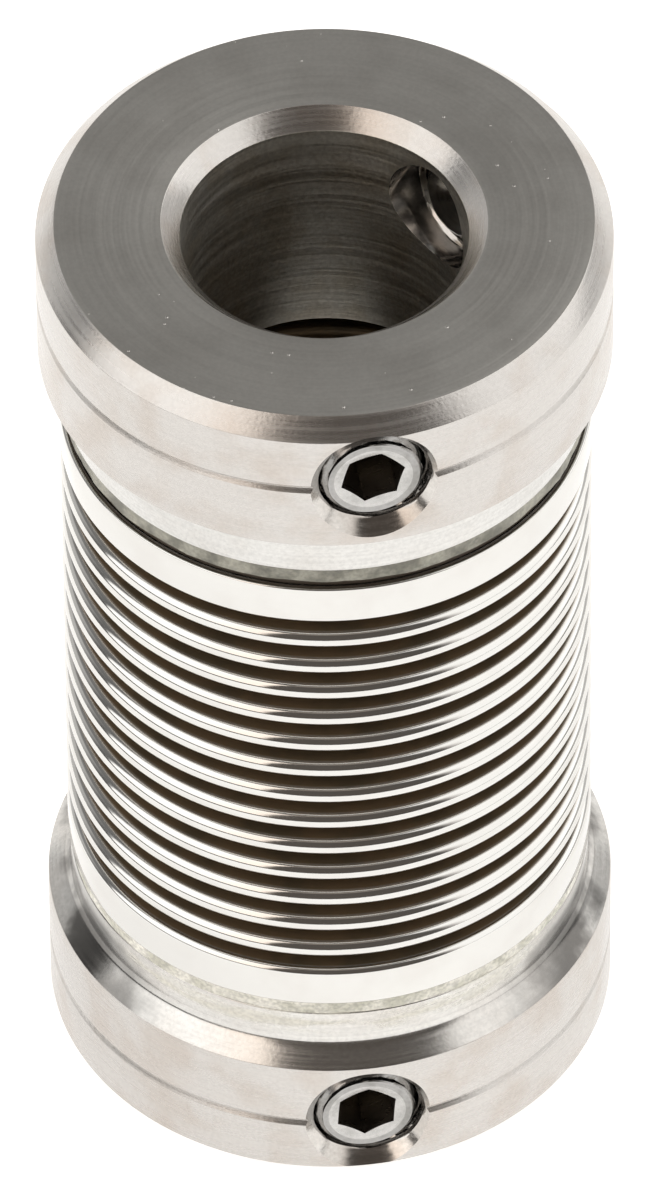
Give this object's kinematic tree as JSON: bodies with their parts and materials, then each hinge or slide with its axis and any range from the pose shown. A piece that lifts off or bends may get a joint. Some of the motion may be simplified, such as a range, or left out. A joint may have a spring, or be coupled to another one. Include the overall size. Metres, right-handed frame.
{
  "type": "bellows coupling",
  "caption": "Bellows shaft coupling: turned stainless hubs with bores and set screws, joined by a thin corrugated metal tube that flexes.",
  "frame": {"origin": "centre of the lower hub's end face, which the coupling stands on", "axes": "+Z along the shaft axis, from the lower hub to the upper one; the first set screw of each hub faces -Y, within 10 degrees"},
  "size_m": [0.02, 0.02, 0.0384],
  "materials": {
    "turned_stainless": "fine turned, satin",
    "bright_bellows": "bright as formed, mirror-like",
    "screw_steel": "bright, slightly worn",
    "cured_adhesive": "mottled grey-green, dull"
  },
  "bodies": {
    "lower_end": {"lower_hub": "turned_stainless", "lower_adhesive_ring": "cured_adhesive", "lower_cuff": "bright_bellows"},
    "convolution_01": {"convolution_01": "bright_bellows"},
    "convolution_02": {"convolution_02": "bright_bellows"},
    "convolution_03": {"convolution_03": "bright_bellows"},
    "convolution_04": {"convolution_04": "bright_bellows"},
    "convolution_05": {"convolution_05": "bright_bellows"},
    "convolution_06": {"convolution_06": "bright_bellows"},
    "convolution_07": {"convolution_07": "bright_bellows"},
    "convolution_08": {"convolution_08": "bright_bellows"},
    "convolution_09": {"convolution_09": "bright_bellows"},
    "convolution_10": {"convolution_10": "bright_bellows"},
    "convolution_11": {"convolution_11": "bright_bellows"},
    "convolution_12": {"convolution_12": "bright_bellows"},
    "convolution_13": {"convolution_13": "bright_bellows"},
    "upper_end": {"upper_hub": "turned_stainless", "upper_adhesive_ring": "cured_adhesive", "upper_cuff": "bright_bellows"},
    "lower_set_screw_a": {"lower_set_screw_a": "screw_steel"},
    "lower_set_screw_b": {"lower_set_screw_b": "screw_steel"},
    "upper_set_screw_a": {"upper_set_screw_a": "screw_steel"},
    "upper_set_screw_b": {"upper_set_screw_b": "screw_steel"}
  },
  "joints": [
    {"name": "tilt_x_lower", "type": "hinge", "parent": "lower_end", "child": "convolution_01", "pos_m": [0, 0, 0.01045], "axis": [1, 0, 0], "range_deg": [-1, 1], "stiffness_Nm_per_rad": 0.04},
    {"name": "stretch", "type": "slide", "parent": "convolution_01", "child": "convolution_02", "axis": [0, 0, 1], "range_m": [-0.00008, 0.00008], "stiffness_N_per_m": 5000},
    {"name": "tilt_y_lower", "type": "hinge", "parent": "convolution_02", "child": "convolution_03", "pos_m": [0, 0, 0.01309], "axis": [0, 1, 0], "range_deg": [-1, 1], "stiffness_Nm_per_rad": 0.04},
    {"name": "stretch_b", "type": "slide", "parent": "convolution_03", "child": "convolution_04", "axis": [0, 0, 1], "range_m": [-0.00008, 0.00008], "stiffness_N_per_m": 5000},
    {"name": "tilt_x_lower_b", "type": "hinge", "parent": "convolution_04", "child": "convolution_05", "pos_m": [0, 0, 0.01573], "axis": [1, 0, 0], "range_deg": [-1, 1], "stiffness_Nm_per_rad": 0.04},
    {"name": "stretch_c", "type": "slide", "parent": "convolution_05", "child": "convolution_06", "axis": [0, 0, 1], "range_m": [-0.00008, 0.00008], "stiffness_N_per_m": 5000},
    {"name": "tilt_y_lower_b", "type": "hinge", "parent": "convolution_06", "child": "convolution_07", "pos_m": [0, 0, 0.01837], "axis": [0, 1, 0], "range_deg": [-1, 1], "stiffness_Nm_per_rad": 0.04},
    {"name": "tilt_y_upper", "type": "hinge", "parent": "convolution_07", "child": "convolution_08", "pos_m": [0, 0, 0.01969], "axis": [0, 1, 0], "range_deg": [-1, 1], "stiffness_Nm_per_rad": 0.04},
    {"name": "stretch_d", "type": "slide", "parent": "convolution_08", "child": "convolution_09", "axis": [0, 0, 1], "range_m": [-0.00008, 0.00008], "stiffness_N_per_m": 5000},
    {"name": "tilt_x_upper", "type": "hinge", "parent": "convolution_09", "child": "convolution_10", "pos_m": [0, 0, 0.02233], "axis": [1, 0, 0], "range_deg": [-1, 1], "stiffness_Nm_per_rad": 0.04},
    {"name": "stretch_e", "type": "slide", "parent": "convolution_10", "child": "convolution_11", "axis": [0, 0, 1], "range_m": [-0.00008, 0.00008], "stiffness_N_per_m": 5000},
    {"name": "tilt_y_upper_b", "type": "hinge", "parent": "convolution_11", "child": "convolution_12", "pos_m": [0, 0, 0.02497], "axis": [0, 1, 0], "range_deg": [-1, 1], "stiffness_Nm_per_rad": 0.04},
    {"name": "stretch_f", "type": "slide", "parent": "convolution_12", "child": "convolution_13", "axis": [0, 0, 1], "range_m": [-0.00008, 0.00008], "stiffness_N_per_m": 5000},
    {"name": "tilt_x_upper_b", "type": "hinge", "parent": "convolution_13", "child": "upper_end", "pos_m": [0, 0, 0.02761], "axis": [1, 0, 0], "range_deg": [-1, 1], "stiffness_Nm_per_rad": 0.04},
    {"name": "lower_screw_feed_a", "type": "slide", "parent": "lower_end", "child": "lower_set_screw_a", "axis": [-0.1305, 0.9914, 0], "range_m": [-0.0007, 0.00065]},
    {"name": "lower_screw_feed_b", "type": "slide", "parent": "lower_end", "child": "lower_set_screw_b", "axis": [-0.7934, -0.6088, 0], "range_m": [-0.0007, 0.00065]},
    {"name": "upper_screw_feed_a", "type": "slide", "parent": "upper_end", "child": "upper_set_screw_a", "axis": [-0.1685, 0.9857, 0], "range_m": [-0.0007, 0.00065]},
    {"name": "upper_screw_feed_b", "type": "slide", "parent": "upper_end", "child": "upper_set_screw_b", "axis": [-0.7694, -0.6388, 0], "range_m": [-0.0007, 0.00065]}
  ],
  "couplings": [
    {"joint": "stretch_b", "follows": "stretch", "ratio": 1},
    {"joint": "tilt_x_lower_b", "follows": "tilt_x_lower", "ratio": 1},
    {"joint": "stretch_c", "follows": "stretch", "ratio": 1},
    {"joint": "tilt_y_lower_b", "follows": "tilt_y_lower", "ratio": 1},
    {"joint": "stretch_d", "follows": "stretch", "ratio": 1},
    {"joint": "stretch_e", "follows": "stretch", "ratio": 1},
    {"joint": "tilt_y_upper_b", "follows": "tilt_y_upper", "ratio": 1},
    {"joint": "stretch_f", "follows": "stretch", "ratio": 1},
    {"joint": "tilt_x_upper_b", "follows": "tilt_x_upper", "ratio": 1}
  ]
}
